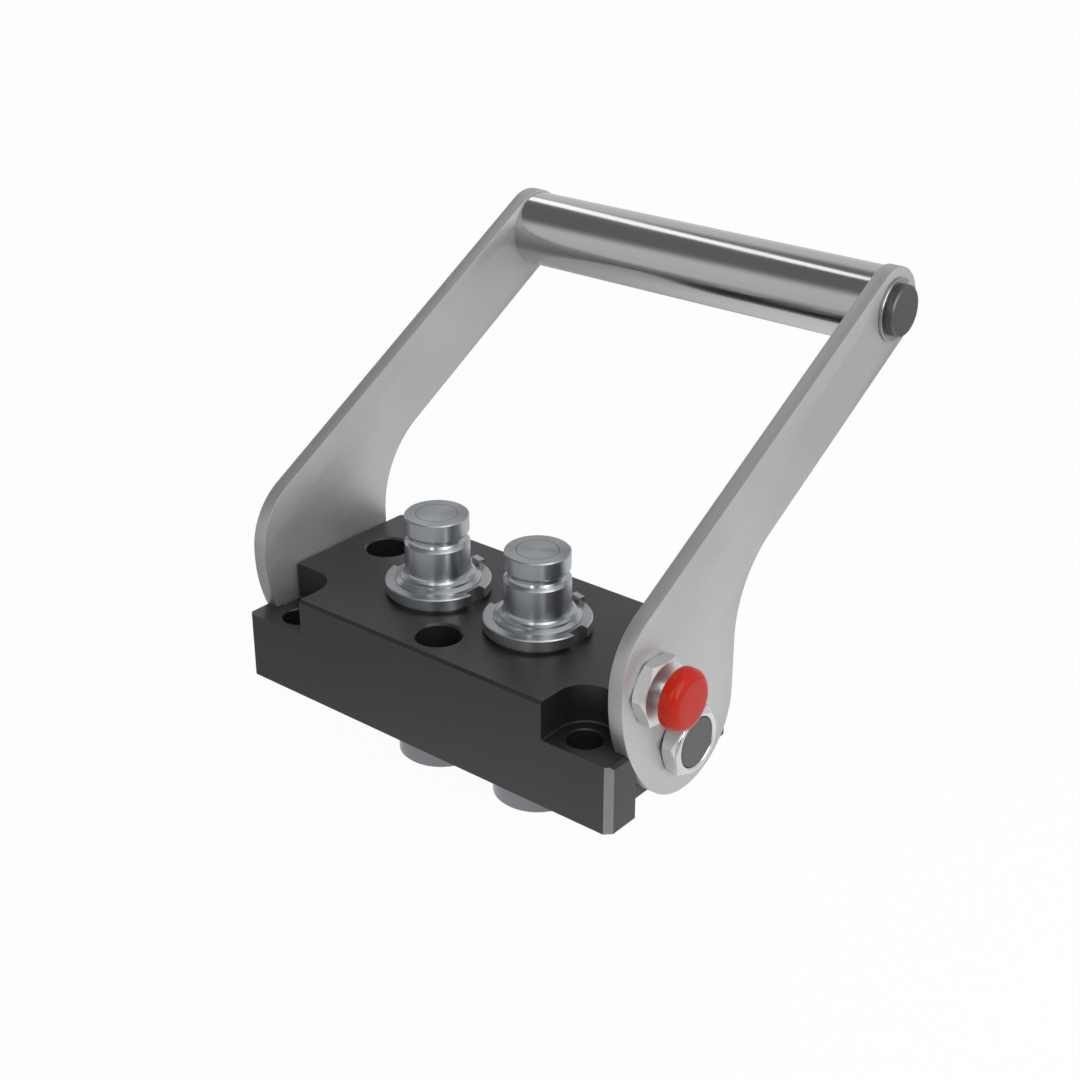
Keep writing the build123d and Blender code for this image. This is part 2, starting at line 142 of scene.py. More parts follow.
blackened, tree, shader, place = new_finish("blackened_steel")
patches = noise(tree, place, 38.0, 4.0)
grain = noise(tree, place, 900.0, 2.0)
feed_marks = noise(tree, place, 160.0, 2.0, (0.12, 1.0, 1.0))
edges = tree.nodes.new("ShaderNodeBevel")
edges.inputs["Radius"].default_value = 0.0007
geometry = tree.nodes.new("ShaderNodeNewGeometry")
edge_turn = combine(
    tree, "DOT_PRODUCT", "Value", edges.outputs["Normal"], geometry.outputs["Normal"]
)
# The edges are painted a shade lighter, partly as wear and partly as a painted highlight along
# them
edge_wear_and_highlight = spread(tree, edge_turn, 0.35, 0.0, 0.90, 0.998)
black_with_lit_worn_edges = tint(tree, edge_wear_and_highlight, BLACK, BLACK_EDGE_WEAR_AND_HIGHLIGHT)
# The corner chamfers are the only faces that look out at 45 degrees to the front
own_normal = turn_between(tree, "NORMAL", geometry.outputs["Normal"], "WORLD", "OBJECT")
sides = combine(tree, "ABSOLUTE", "Vector", own_normal)
corner = combine(tree, "DOT_PRODUCT", "Value", sides, (DIAGONAL, DIAGONAL, 0.0))
facing = spread(tree, corner, 0.0, 1.0, 0.985, 0.995)
spot = parts_of(tree, place)
at_front = compute(tree, "LESS_THAN", spot["Y"], CHAMFER_FRONT_Y)
from_middle = compute(tree, "ABSOLUTE", spot["X"])
past_body = compute(tree, "GREATER_THAN", from_middle, CHAMFER_END_X)
bare = compute(tree, "MULTIPLY", compute(tree, "MULTIPLY", at_front, past_body), facing)
tree.links.new(tint(tree, bare, black_with_lit_worn_edges, BARE_STEEL), shader.inputs["Base Color"])
tree.links.new(bare, shader.inputs["Metallic"])
tree.links.new(spread(tree, patches, 0.34, 0.42), shader.inputs["Roughness"])
shader.inputs["Specular IOR Level"].default_value = 0.6
block_height = compute(tree, "ADD", grain, feed_marks)
relief(tree, shader, block_height, 0.00002, 0.5)
dress(blackened, "base_block")

# Nipple bodies and valve discs
# Hardened steel turned on a lathe, so fine grooves run round every surface and draw each
# highlight out along the axis. The valve disc is set flush in the nose and shows as a thin ring.
TURNED = (0.40, 0.42, 0.445, 1.0)
TURNED_PALE = (0.45, 0.47, 0.495, 1.0)
JOINT_LINE = (0.16, 0.17, 0.185, 1.0)
GROOVE_SCALE, GROOVE_WANDER, GROOVE_DEPTH = 420.0, 0.4, 0.000004


def measured_from(tree, vector, point, scale=(1.0, 1.0, 1.0)):
    mapping = tree.nodes.new("ShaderNodeMapping")
    mapping.inputs["Location"].default_value = tuple(-c for c in point)
    mapping.inputs["Scale"].default_value = scale
    tree.links.new(vector, mapping.inputs["Vector"])
    return mapping.outputs["Vector"]


def turned_finish(name, dark, pale, rough_low, rough_high, axis, centre, sheen=0.7):
    material, tree, shader, place = new_finish(name)
    shader.inputs["Metallic"].default_value = 1.0
    shader.inputs["Anisotropic"].default_value = sheen
    shader.inputs["Anisotropic Rotation"].default_value = 0.25
    centred = measured_from(tree, place, centre)
    grooves = []
    for kind in ("RINGS", "BANDS"):
        wave = tree.nodes.new("ShaderNodeTexWave")
        wave.wave_type = kind
        wave.rings_direction = axis
        wave.bands_direction = axis
        wave.inputs["Scale"].default_value = GROOVE_SCALE
        wave.inputs["Distortion"].default_value = GROOVE_WANDER
        tree.links.new(centred, wave.inputs["Vector"])
        grooves.append(wave.outputs["Fac"])
    patches = noise(tree, place, 45.0, 2.0)
    shade = tint(tree, spread(tree, patches, 0.0, 1.0), dark, pale)
    tree.links.new(shade, shader.inputs["Base Color"])
    tree.links.new(spread(tree, patches, rough_low, rough_high), shader.inputs["Roughness"])
    relief(tree, shader, compute(tree, "ADD", *grooves), GROOVE_DEPTH, 0.25)
    # The grain runs round the part's own axis
    along = tuple(float(axis == letter) for letter in "XYZ")
    around = combine(tree, "CROSS_PRODUCT", "Vector", along, centred)
    unit = combine(tree, "NORMALIZE", "Vector", around)
    grain_line = turn_between(tree, "VECTOR", unit, "OBJECT", "WORLD")
    tree.links.new(grain_line, shader.inputs["Tangent"])
    return material


def joint_line(material, centre, radius, width):
    # Darkens a thin ring round the axis, where the valve disc meets the nose
    tree = material.node_tree
    shader = tree.nodes["Principled BSDF"]
    place = tree.nodes.new("ShaderNodeTexCoord")
    flat = measured_from(tree, place.outputs["Object"], centre, (1.0, 1.0, 0.0))
    away = combine(tree, "LENGTH", "Value", flat)
    inside = compute(tree, "COMPARE", away, radius, width)
    before = shader.inputs["Base Color"].links[0].from_socket
    tree.links.new(tint(tree, inside, before, JOINT_LINE), shader.inputs["Base Color"])


DISC_R, DISC_GAP = 0.00785, 0.00014
NIPPLE_X, NIPPLE_Y = 0.0245, -0.0005
for side in (-1, 1):
    name = "left" if side < 0 else "right"
    axis = (NIPPLE_X * side, NIPPLE_Y, 0.0)
    nose = turned_finish("nose_steel_" + name, TURNED, TURNED_PALE, 0.27, 0.31, "Z", axis)
    joint_line(nose, axis, DISC_R, DISC_GAP)
    dress(nose, "nipple_body_" + name, "poppet_" + name)

# Port adapters
# A turned steel sleeve set into the underside of the block below each nipple. It is left darker
# and smoother than the nipples, and its lower mouth takes the hose fitting.
ADAPTER = (0.18, 0.188, 0.2, 1.0)
ADAPTER_PALE = (0.23, 0.238, 0.25, 1.0)
for side in (-1, 1):
    name = "left" if side < 0 else "right"
    axis = (NIPPLE_X * side, NIPPLE_Y, 0.0)
    sleeve = turned_finish("adapter_steel_" + name, ADAPTER, ADAPTER_PALE, 0.24, 0.28, "Z", axis)
    dress(sleeve, "port_adapter_" + name)

# Retaining flanges
# A plated steel ring under each nipple, with a key notch on two sides and a bent-up lock tab.
# The plating leaves it a shade paler and brighter than the nipples.
PLATED = (0.43, 0.445, 0.46, 1.0)
PLATED_PALE = (0.48, 0.495, 0.51, 1.0)
for side in (-1, 1):
    name = "left" if side < 0 else "right"
    axis = (NIPPLE_X * side, NIPPLE_Y, 0.0)
    plated = turned_finish("plated_flange_" + name, PLATED, PLATED_PALE, 0.3, 0.34, "Z", axis, 0.5)
    dress(plated, "retaining_flange_" + name)

# Seals
# Black rubber rings in the nose of each valve and round each nipple body, with the slight
# bloom of moulded rubber.
RUBBER = (0.012, 0.012, 0.012, 1.0)
RUBBER_BLOOM = (0.03, 0.03, 0.031, 1.0)
rubber, tree, shader, place = new_finish("seal_rubber")
bloom = noise(tree, place, 220.0, 3.0)
tree.links.new(tint(tree, bloom, RUBBER, RUBBER_BLOOM), shader.inputs["Base Color"])
tree.links.new(spread(tree, bloom, 0.5, 0.65), shader.inputs["Roughness"])
relief(tree, shader, noise(tree, place, 2500.0), 0.00001)
dress(rubber, "nose_seal_left", "nose_seal_right", "body_seal_left", "body_seal_right")

# Springs and spring guides
# Drawn spring wire behind each valve and behind the lock pin, and a drilled steel guide disc
# that each valve stem slides in.
WIRE = (0.2, 0.2, 0.21, 1.0)
WIRE_PALE = (0.36, 0.36, 0.37, 1.0)
BLOCK_AXIS = (0.0, 0.0, 0.0)
wire, tree, shader, place = new_finish("spring_wire")
shader.inputs["Metallic"].default_value = 1.0
drawn = noise(tree, place, 320.0, 3.0)
tree.links.new(tint(tree, drawn, WIRE, WIRE_PALE), shader.inputs["Base Color"])
tree.links.new(spread(tree, drawn, 0.26, 0.4), shader.inputs["Roughness"])
relief(tree, shader, drawn, 0.00001)
dress(wire, "poppet_spring_left", "poppet_spring_right", "plunger_spring")
guide_steel = turned_finish("guide_steel", TURNED, TURNED_PALE, 0.3, 0.4, "Z", BLOCK_AXIS, 0.3)
dress(guide_steel, "spring_guide_left", "spring_guide_right")

# Lever plates
# Stainless plate 6 mm thick, cut to an outline of arcs and straight runs, with its rims broken
# and a fine matte grain rolled along its length. Each plate is bored for its bush and the core,
# and the right one for the neck of the plunger housing.
PLATE_IN_X, PLATE_OUT_X = 83.1, 89.1
RIM_BREAK = 0.35
# The outline's arcs in millimetres: across, up and radius
LOBE = (4.0, 25.5, 28.0)
BROW = (-7.2, 51.5, 28.0)
TIP = (130.5, 144.2, 16.0)
FLANK_R = 60.0
HOLLOW_R = 39.0
ARC_STEP = math.radians(3.0)
BUSH_HOLE_R, CORE_HOLE_R, NECK_HOLE_R = 0.01201, 0.01001, 0.00801
HOLE_SIDES, DRILL_LENGTH = 96, 0.02
SMOOTH_ANGLE = math.radians(30.0)
PIVOT_AXIS = (0.0, 0.0, 0.021)
GRIP_AXIS = (0.0, 0.1305, 0.1442)
HOUSING_AXIS = (0.0, -0.0185, 0.049)
PLATE_GREY = (0.50, 0.50, 0.498, 1.0)
PLATE_PALE = (0.56, 0.56, 0.558, 1.0)
RIM_PAINTED_SHADE = (0.42, 0.42, 0.418, 1.0)


def arc(centre_y, centre_z, radius, start, stop):
    count = max(2, math.ceil(abs(stop - start) / ARC_STEP))
    turns = [start + (stop - start) * i / count for i in range(count + 1)]
    return [(centre_y + radius * math.cos(t), centre_z + radius * math.sin(t)) for t in turns]


def plate_outline():
    # Seen along X: tip, straight front run, brow, flank, lobe, straight rear, hollow, rear run
    span = math.dist(TIP[:2], BROW[:2])
    run = math.atan2(TIP[1] - BROW[1], TIP[0] - BROW[0])
    slope = run - math.asin((BROW[2] - TIP[2]) / span)
    front, rear = slope + math.pi / 2, slope - math.pi / 2
    # The flank arc touches the brow and the lobe from inside, so its centre lies behind both
    half = math.dist(BROW[:2], LOBE[:2]) / 2
    out = math.sqrt((FLANK_R - LOBE[2]) ** 2 - half**2)
    mid_y, mid_z = (BROW[0] + LOBE[0]) / 2, (BROW[1] + LOBE[1]) / 2
    flank_y = mid_y + out * (BROW[1] - LOBE[1]) / (2 * half)
    flank_z = mid_z + out * (LOBE[0] - BROW[0]) / (2 * half)
    to_brow = math.atan2(BROW[1] - flank_z, BROW[0] - flank_y) % (2 * math.pi)
    to_lobe = math.atan2(LOBE[1] - flank_z, LOBE[0] - flank_y) % (2 * math.pi)
    # The hollow touches the upright rear of the lobe and the rear run of the arm
    rear_y = LOBE[0] + LOBE[2]
    hollow_y = rear_y + HOLLOW_R
    touch_y = TIP[0] + (TIP[2] + HOLLOW_R) * math.cos(rear)
    touch_z = TIP[1] + (TIP[2] + HOLLOW_R) * math.sin(rear)
    hollow_z = touch_z - (touch_y - hollow_y) * math.tan(slope)
    points = arc(*TIP, rear, front)
    points += arc(*BROW, front, to_brow)
    points += arc(flank_y, flank_z, FLANK_R, to_brow, to_lobe)[1:]
    points += arc(*LOBE, to_lobe, 2 * math.pi)[1:]
    points += arc(hollow_y, hollow_z, HOLLOW_R, math.pi, front)
    return points


def pick(piece):
    bpy.ops.object.select_all(action="DESELECT")
    piece.select_set(True)
    bpy.context.view_layer.objects.active = piece


def cut(piece, tool, operation):
    pick(piece)
    change = piece.modifiers.new("cut", "BOOLEAN")
    change.operation = operation
    change.solver = "EXACT"
    change.object = tool
    bpy.ops.object.modifier_apply(modifier="cut")
    pick(tool)
    bpy.ops.object.delete()


def bore(piece, radius, axis, middle_x):
    bpy.ops.object.select_all(action="DESELECT")
    bpy.ops.mesh.primitive_cylinder_add(
        vertices=HOLE_SIDES,
        radius=radius,
        depth=DRILL_LENGTH,
        location=(middle_x, axis[1], axis[2]),
        rotation=(0.0, math.pi / 2, 0.0),
    )
    cut(piece, bpy.context.object, "DIFFERENCE")


def closed_loop(name, corners):
    bpy.ops.object.select_all(action="DESELECT")
    bpy.ops.mesh.primitive_circle_add(vertices=len(corners), radius=0.01, location=(0.0, 0.0, 0.0))
    piece = bpy.context.object
    piece.name = name
    for vertex, corner in zip(piece.data.vertices, corners):
        vertex.co = corner
    return piece


def finish_mesh(piece, material, body):
    pick(piece)
    bpy.ops.object.mode_set(mode="EDIT")
    bpy.ops.mesh.select_all(action="SELECT")
    bpy.ops.mesh.normals_make_consistent(inside=False)
    bpy.ops.object.mode_set(mode="OBJECT")
    bpy.ops.object.transform_apply(location=True, rotation=True, scale=True)
    bpy.ops.object.shade_smooth_by_angle(angle=SMOOTH_ANGLE)
    piece.data.materials.clear()
    piece.data.materials.append(material)
    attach(piece, body)


stainless, tree, shader, place = new_finish("matte_stainless")
shader.inputs["Metallic"].default_value = 0.75
arm_turn = tree.nodes.new("ShaderNodeMapping")
arm_turn.inputs["Rotation"].default_value = (math.radians(-30.0), 0.0, 0.0)
tree.links.new(place, arm_turn.inputs["Vector"])
rolled = noise(tree, arm_turn.outputs["Vector"], 700.0, 3.0, (1.0, 0.06, 1.0))
clouds = noise(tree, place, 22.0, 3.0)
speck = noise(tree, place, 1400.0, 1.0)
face = tint(tree, spread(tree, clouds, 0.0, 1.0), PLATE_GREY, PLATE_PALE)
# The rims, which do not face along X, are painted a darker grey as painted shade
geometry = tree.nodes.new("ShaderNodeNewGeometry")
own_normal = turn_between(tree, "NORMAL", geometry.outputs["Normal"], "WORLD", "OBJECT")
flat = compute(tree, "ABSOLUTE", parts_of(tree, own_normal)["X"])
on_face = spread(tree, flat, 0.0, 1.0, 0.2, 0.6)
tree.links.new(tint(tree, on_face, RIM_PAINTED_SHADE, face), shader.inputs["Base Color"])
tree.links.new(spread(tree, rolled, 0.42, 0.50), shader.inputs["Roughness"])
relief(tree, shader, compute(tree, "ADD", rolled, speck), 0.00001, 0.3)

outline = plate_outline()
for side in (-1, 1):
    name = "left" if side < 0 else "right"
    inner_face = [(side * PLATE_IN_X / 1000, y / 1000, z / 1000) for y, z in outline]
    plate = closed_loop("lever_arm_" + name, inner_face)
    bpy.ops.object.mode_set(mode="EDIT")
    bpy.ops.mesh.select_all(action="SELECT")
    bpy.ops.mesh.edge_face_add()
    thickness = side * (PLATE_OUT_X - PLATE_IN_X) / 1000
    bpy.ops.mesh.extrude_region_move(TRANSFORM_OT_translate={"value": (thickness, 0.0, 0.0)})
    bpy.ops.mesh.select_all(action="SELECT")
    bpy.ops.mesh.normals_make_consistent(inside=False)
    bpy.ops.object.mode_set(mode="OBJECT")
    rim = plate.modifiers.new("rim", "BEVEL")
    rim.width = RIM_BREAK / 1000
    rim.segments = 2
    rim.limit_method = "ANGLE"
    rim.angle_limit = math.radians(60.0)
    bpy.ops.object.modifier_apply(modifier="rim")
    middle_x = side * (PLATE_IN_X + PLATE_OUT_X) / 2000
    bore(plate, BUSH_HOLE_R, PIVOT_AXIS, middle_x)
    bore(plate, CORE_HOLE_R, GRIP_AXIS, middle_x)
    if side > 0:
        bore(plate, NECK_HOLE_R, HOUSING_AXIS, middle_x)
    finish_mesh(plate, stainless, "lever")
    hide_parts("lever_plate_" + name)

# Handle tube
# A polished steel tube held between the two plates. It is drawn tube, so faint long lines
# run along it under the polish.
POLISHED = (0.47, 0.473, 0.473, 1.0)
POLISHED_PALE = (0.51, 0.513, 0.513, 1.0)
polished, tree, shader, place = new_finish("polished_tube")
shader.inputs["Metallic"].default_value = 1.0
drawn = noise(tree, place, 500.0, 3.0, (0.02, 1.0, 1.0))
haze = noise(tree, place, 30.0, 3.0)
tree.links.new(tint(tree, haze, POLISHED, POLISHED_PALE), shader.inputs["Base Color"])
tree.links.new(spread(tree, haze, 0.13, 0.17), shader.inputs["Roughness"])
relief(tree, shader, drawn, 0.000004, 0.25)
dress(polished, "handle_tube")

# Handle core and pivot pins
# Turned steel bars: the core runs through the tube and both plates, and each pivot pin is
# screwed into the block. Their sawn and faced ends are darker than the plated parts.
DARK_END = (0.13, 0.132, 0.134, 1.0)
DARK_PALE = (0.15, 0.152, 0.154, 1.0)
core_steel = turned_finish("core_steel", DARK_END, DARK_PALE, 0.4, 0.46, "X", GRIP_AXIS, 0.2)
dress(core_steel, "handle_core")
pin_steel = turned_finish("pin_steel", DARK_END, DARK_PALE, 0.4, 0.46, "X", PIVOT_AXIS, 0.2)
dress(pin_steel, "pivot_pin_left", "pivot_pin_right")

# Retaining rings
# A split ring of sprung steel in a groove at each end of the core. It lies flat on the plate,
# and its two square ends leave a gap at the top rear.
RING_IN, RING_OUT, RING_THICK = 8.95, 12.2, 1.2
RING_CLEAR, RING_EDGE, RING_STEPS = 0.15, 0.3, 90
RING_GAP = math.radians(22.0)
RING_GAP_AT = math.radians(45.0)
RING_STEEL = (0.34, 0.342, 0.345, 1.0)
RING_PALE = (0.40, 0.402, 0.405, 1.0)


def wind(piece, axis, angle, steps, rise=0.0):
    screw = piece.modifiers.new("wind", "SCREW")
    screw.axis = axis
    screw.angle = angle
    screw.screw_offset = rise
    screw.steps = steps
    screw.render_steps = steps
    bpy.ops.object.modifier_apply(modifier="wind")


ring_steel = turned_finish("ring_steel", RING_STEEL, RING_PALE, 0.26, 0.32, "X", GRIP_AXIS, 0.4)
for side in (-1, 1):
    name = "left" if side < 0 else "right"
    low = PLATE_OUT_X + RING_CLEAR
    profile = [
        (low, RING_IN),
        (low, RING_OUT),
        (low + RING_THICK - RING_EDGE, RING_OUT),
        (low + RING_THICK, RING_OUT - RING_EDGE),
        (low + RING_THICK, RING_IN),
    ]
    section = [(side * along / 1000, out / 1000, 0.0) for along, out in profile]
    clip = closed_loop("snap_ring_" + name, section)
    wind(clip, "X", 2 * math.pi - RING_GAP, RING_STEPS)
    bpy.ops.object.mode_set(mode="EDIT")
    bpy.ops.mesh.select_all(action="DESELECT")
    bpy.ops.mesh.select_non_manifold()
    bpy.ops.mesh.edge_face_add()
    bpy.ops.object.mode_set(mode="OBJECT")
    clip.rotation_euler = (RING_GAP_AT + RING_GAP / 2, 0.0, 0.0)
    clip.location = (0.0, GRIP_AXIS[1], GRIP_AXIS[2])
    finish_mesh(clip, ring_steel, "lever")
    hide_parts("retaining_ring_" + name)

# Pivot nuts and plunger housing
# Zinc-plated hexagons with both ends turned down to round corners. Each nut has a polished
# rounded collar round the end of its pin, and the plunger housing has a neck through the right
# plate.
ZINC = (0.66, 0.662, 0.665, 1.0)
ZINC_PALE = (0.72, 0.722, 0.725, 1.0)
NUT_FLATS, NUT_BORE, NUT_TURN = 23.6, 9.43, math.radians(50.0)
NUT_CLEAR, NUT_HEX_T, NUT_CROWN_R = 0.2, 6.1, 1.2
CROWN_STEPS, POLISH_START = 12, 0.05
HOUSING_FLATS, HOUSING_BORE, HOUSING_TURN = 22.6, 5.05, math.radians(-3.0)
HOUSING_HEX_T = 5.6
NECK_R, NECK_BORE, PIN_HOLE_R, SEAT_X = 7.97, 6.4, 4.05, 85.1
TURNED_SHARE, CORNER_MARGIN = 0.98, 0.3
LATHE_STEPS = 96


def lathe(name, profile, axis, side=1):
    # A closed profile of (along X, out from the axis) in millimetres, spun round the axis
    piece = closed_loop(name, [(side * along / 1000, out / 1000, 0.0) for along, out in profile])
    wind(piece, "X", 2 * math.pi, LATHE_STEPS)
    bpy.ops.object.mode_set(mode="EDIT")
    bpy.ops.mesh.select_all(action="SELECT")
    bpy.ops.mesh.remove_doubles(threshold=0.000001)
    bpy.ops.mesh.delete_loose()
    bpy.ops.mesh.select_all(action="SELECT")
    bpy.ops.mesh.normals_make_consistent(inside=False)
    bpy.ops.object.mode_set(mode="OBJECT")
    piece.location = (0.0, axis[1], axis[2])
    bpy.ops.object.transform_apply(location=True, rotation=True, scale=True)
    return piece


def hexagon(name, flats, low, high, hole, turn, axis, side=1):
    # A hexagon prism crossed with a turned ring, which rounds its corners at both ends
    corner_r = flats / math.sqrt(3)
    face_r = flats / 2 * TURNED_SHARE
    rim_r = corner_r + CORNER_MARGIN
    drop = (rim_r - face_r) * math.tan(math.radians(30.0))
    profile = [
        (low, hole),
        (low, face_r),
        (low + drop, rim_r),
        (high - drop, rim_r),
        (high, face_r),
        (high, hole),
    ]
    turned_ring = lathe(name + "_turned", profile, axis, side)
    bpy.ops.object.select_all(action="DESELECT")
    bpy.ops.mesh.primitive_cylinder_add(
        vertices=6,
        radius=corner_r / 1000,
        depth=(high - low + 2) / 1000,
        rotation=(0.0, math.pi / 2, 0.0),
    )
    prism = bpy.context.object
    prism.name = name
    bpy.ops.object.transform_apply(location=True, rotation=True, scale=True)
    prism.rotation_euler = (turn, 0.0, 0.0)
    prism.location = (side * (low + high) / 2000, axis[1], axis[2])
    bpy.ops.object.transform_apply(location=True, rotation=True, scale=True)
    cut(prism, turned_ring, "INTERSECT")
    return prism


def join(first, second):
    pick(first)
    second.select_set(True)
    bpy.ops.object.join()


def polish_end(material, begins_x, rough):
    # Polishes what stands further out along X, which is the rounded collar
    tree = material.node_tree
    shader = tree.nodes["Principled BSDF"]
    place = tree.nodes.new("ShaderNodeTexCoord")
    away = compute(tree, "ABSOLUTE", parts_of(tree, place.outputs["Object"])["X"])
    past = spread(tree, away, 0.0, 1.0, begins_x, begins_x + 0.0001)
    mix = tree.nodes.new("ShaderNodeMix")
    mix.inputs["B"].default_value = rough
    tree.links.new(past, mix.inputs["Factor"])
    tree.links.new(shader.inputs["Roughness"].links[0].from_socket, mix.inputs["A"])
    tree.links.new(mix.outputs["Result"], shader.inputs["Roughness"])


nut_zinc = turned_finish("nut_zinc", ZINC, ZINC_PALE, 0.34, 0.38, "X", PIVOT_AXIS, 0.2)
polish_end(nut_zinc, (PLATE_OUT_X + NUT_CLEAR + NUT_HEX_T + POLISH_START) / 1000, 0.18)
for side in (-1, 1):
    name = "left" if side < 0 else "right"
    low = PLATE_OUT_X + NUT_CLEAR
    high = low + NUT_HEX_T
    nut = hexagon("hex_nut_" + name, NUT_FLATS, low, high, NUT_BORE, NUT_TURN, PIVOT_AXIS, side)
    crown_out = NUT_BORE + 2 * NUT_CROWN_R
    crown_turns = [math.pi * i / CROWN_STEPS for i in range(CROWN_STEPS + 1)]
    crown = [
        (high + NUT_CROWN_R * math.sin(t), crown_out - NUT_CROWN_R * (1 + math.cos(t)))
        for t in crown_turns
    ]
    collar = lathe("collar", crown, PIVOT_AXIS, side)
    join(nut, collar)
    finish_mesh(nut, nut_zinc, "block")
    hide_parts("pivot_nut_" + name)
housing_zinc = turned_finish("housing_zinc", ZINC, ZINC_PALE, 0.36, 0.40, "X", HOUSING_AXIS, 0.2)
housing = hexagon(
    "plunger_hexagon",
    HOUSING_FLATS,
    PLATE_OUT_X,
    PLATE_OUT_X + HOUSING_HEX_T,
    HOUSING_BORE,
    HOUSING_TURN,
    HOUSING_AXIS,
)
neck_profile = [
    (PLATE_IN_X, PIN_HOLE_R),
    (PLATE_IN_X, NECK_R),
    (PLATE_OUT_X, NECK_R),
    (PLATE_OUT_X, NECK_BORE),
    (SEAT_X, NECK_BORE),
    (SEAT_X, PIN_HOLE_R),
]
neck = lathe("neck", neck_profile, HOUSING_AXIS)
join(housing, neck)
finish_mesh(housing, housing_zinc, "lever")
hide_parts("plunger_housing")

# Lock pin
# A turned and plated pin that slides in the housing, with its nose towards the block. It is
# the smoothest of the plated pieces, because it moves.
pin_zinc = turned_finish("pin_zinc", ZINC, ZINC_PALE, 0.16, 0.2, "X", HOUSING_AXIS, 0.3)
dress(pin_zinc, "plunger_pin")

# Pivot bushes and thrust washers
# Plain bearing bronze, lightly oiled. A bush is pressed into each plate, and a washer lies
# between each plate and the block.
BRONZE = (0.42, 0.27, 0.12, 1.0)
BRONZE_PALE = (0.58, 0.4, 0.2, 1.0)
bronze, tree, shader, place = new_finish("bearing_bronze")
shader.inputs["Metallic"].default_value = 1.0
oil = noise(tree, place, 120.0, 4.0)
tree.links.new(tint(tree, oil, BRONZE, BRONZE_PALE), shader.inputs["Base Color"])
tree.links.new(spread(tree, oil, 0.3, 0.42), shader.inputs["Roughness"])
relief(tree, shader, oil, 0.00001)
dress(bronze, "pivot_bush_left", "pivot_bush_right", "thrust_washer_left", "thrust_washer_right")

# Lock button
# A moulded plastic mushroom pressed on the end of the lock pin, with a full round to its front
# and the faint unevenness of a glossy moulding.
CAP_BACK, CAP_FRONT, CAP_R = 99.0, 106.2, 11.4
CAP_ROUND, CAP_BACK_ROUND, ROUND_STEPS = 3.9, 1.4, 10
CAP_BORE, CAP_BORE_END = 4.52, 103.2
RED = (0.45, 0.017, 0.006, 1.0)
RED_PALE = (0.48, 0.021, 0.008, 1.0)
red, tree, shader, place = new_finish("red_plastic")
flow = noise(tree, place, 180.0, 2.0)
tree.links.new(tint(tree, flow, RED, RED_PALE), shader.inputs["Base Color"])
tree.links.new(spread(tree, flow, 0.17, 0.22), shader.inputs["Roughness"])
shader.inputs["Specular IOR Level"].default_value = 0.18
relief(tree, shader, noise(tree, place, 260.0, 1.0), 0.00002, 0.3)
quarter = [math.pi / 2 * i / ROUND_STEPS for i in range(ROUND_STEPS + 1)]
cap_profile = [(CAP_BACK, CAP_BORE)]
cap_profile += [
    (CAP_BACK + CAP_BACK_ROUND * (1 - math.cos(t)), CAP_R - CAP_BACK_ROUND * (1 - math.sin(t)))
    for t in quarter
]
cap_profile += [
    (CAP_FRONT - CAP_ROUND * (1 - math.sin(t)), CAP_R - CAP_ROUND * (1 - math.cos(t)))
    for t in quarter
]
cap_profile += [(CAP_FRONT, 0.0), (CAP_BORE_END, 0.0), (CAP_BORE_END, CAP_BORE)]
cap = lathe("red_cap", cap_profile, HOUSING_AXIS)
finish_mesh(cap, red, "lock_button")
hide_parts("plunger_button")

# Port threads
# Pipe thread cut in the mouth of each port adapter. Its three-sided ridge is wound up the bore
# from just inside the mouth.
THREAD_R = 0.0095
THREAD_PITCH, THREAD_TURNS = 0.001814, 7
THREAD_DEPTH = 0.00055
THREAD_FLANK = THREAD_PITCH * 0.42
THREAD_BITE = 0.00003
THREAD_START_Z = -0.0268
TURN_STEPS = 48
ridge = [
    (THREAD_R - THREAD_DEPTH, 0.0, 0.0),
    (THREAD_R + THREAD_BITE, 0.0, THREAD_FLANK),
    (THREAD_R + THREAD_BITE, 0.0, -THREAD_FLANK),
]
rise = THREAD_PITCH * THREAD_TURNS
port_steel = turned_finish("thread_steel", TURNED, TURNED_PALE, 0.28, 0.36, "Z", BLOCK_AXIS, 0.0)
for side in (-1, 1):
    name = "left" if side < 0 else "right"
    thread = closed_loop("port_thread_" + name, ridge)
    wind(thread, "Z", 2 * math.pi * THREAD_TURNS, TURN_STEPS * THREAD_TURNS, rise)
    bpy.ops.object.mode_set(mode="EDIT")
    bpy.ops.mesh.select_all(action="SELECT")
    bpy.ops.mesh.remove_doubles(threshold=0.000001)
    bpy.ops.mesh.select_all(action="DESELECT")
    bpy.ops.mesh.select_non_manifold()
    bpy.ops.mesh.edge_face_add()
    bpy.ops.object.mode_set(mode="OBJECT")
    thread.location = (NIPPLE_X * side, NIPPLE_Y, THREAD_START_Z)
    finish_mesh(thread, port_steel, "block")

# Floor and light
# A pale floor under the ports, with a painted pool of light in its colour and in the glow it shows
# in reflections: palest behind the part, greyer round it and pale again further out. A soft key
# lamp stands high to the right, with two narrow upright ones in front and a strip for the tube.
FLOOR_Z = -0.0285
FLOOR_PAINTED_LIGHT = (0.88, 0.88, 0.88, 1.0)
FLOOR_PAINTED_DIM = (0.45, 0.45, 0.45, 1.0)
GLOW_PAINTED_LIGHT = (0.96, 0.96, 0.96, 1.0)
GLOW_PAINTED_DIM = (0.50, 0.50, 0.50, 1.0)
WHITE = (1.0, 1.0, 1.0, 1.0)
LIGHT_POOL_CENTRE = (0.12, 0.10, 0.0)
LIGHT_POOL_FADE = ((0.14, 0.0), (0.34, 1.0), (0.44, 1.0), (0.66, 0.45))
FLOOR_SIZE, GLOW_SHARE = 12.0, 0.97
bpy.ops.object.select_all(action="DESELECT")
